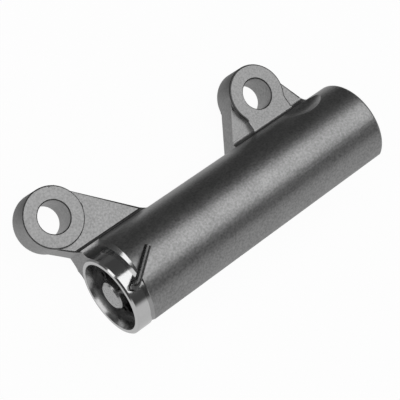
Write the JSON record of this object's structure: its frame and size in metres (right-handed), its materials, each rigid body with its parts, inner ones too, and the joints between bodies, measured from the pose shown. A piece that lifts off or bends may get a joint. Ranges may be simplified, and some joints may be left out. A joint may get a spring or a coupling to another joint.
{
  "type": "timing belt tensioner",
  "caption": "Hydraulic timing belt tensioner: round cast body with two bolt ears and a push rod held in by a bent lock pin.",
  "frame": {"origin": "centre of the front bolt hole on the mounting face of the ears", "axes": "+X along the body from the mouth to the closed end, +Y from the body towards the ears, +Z out of the mounting face along the bolts"},
  "size_m": [0.1019, 0.0455, 0.0283],
  "materials": {
    "cast_aluminium": "shot-blasted die casting, machined at the mouth and faces",
    "ground_steel": "ground bright steel",
    "black_wire": "oiled dark spring wire",
    "spring_steel": "dark spring steel",
    "seal_steel": "pressed sheet steel",
    "seal_rubber": "nitrile rubber, matt black",
    "bush_bronze": "sintered bronze",
    "wear_plastic": "filled low-friction plastic"
  },
  "bodies": {
    "body": {"housing": "cast_aluminium", "snap_ring": "spring_steel", "seal_case": "seal_steel", "seal_lip": "seal_rubber", "garter_spring": "spring_steel", "rod_guide_bush": "bush_bronze", "pressure_sleeve": "ground_steel", "sleeve_spring_disc": "ground_steel", "reservoir_spring": "spring_steel", "return_spring": "spring_steel"},
    "rod": {"push_rod": "ground_steel", "rod_wear_ring": "wear_plastic", "valve_seat": "ground_steel", "ball_cage": "seal_steel", "ball_spring": "spring_steel"},
    "ball": {"check_ball": "ground_steel"},
    "oil_piston": {"reservoir_piston": "ground_steel", "reservoir_outer_ring": "seal_rubber", "reservoir_inner_ring": "seal_rubber"},
    "pin": {"lock_pin": "black_wire"}
  },
  "joints": [
    {"name": "rod_slide", "type": "slide", "parent": "body", "child": "rod", "axis": [-1, 0, 0], "range_m": [0, 0.008], "deforming": ["return_spring"]},
    {"name": "reservoir_piston_slide", "type": "slide", "parent": "body", "child": "oil_piston", "axis": [1, 0, 0], "range_m": [0, 0.002], "deforming": ["reservoir_spring"]},
    {"name": "lock_pin_pull", "type": "slide", "parent": "body", "child": "pin", "axis": [0, 0, 1], "range_m": [0, 0.02]},
    {"name": "check_ball_lift", "type": "slide", "parent": "rod", "child": "ball", "axis": [1, 0, 0], "range_m": [0, 0.0006], "stiffness_N_per_m": 20, "deforming": ["ball_spring"]}
  ],
  "couplings": [
    {"joint": "reservoir_piston_slide", "follows": "rod_slide", "ratio": 0.2462},
    {"joint": "lock_pin_pull", "follows": "rod_slide", "ratio": 2.5}
  ]
}
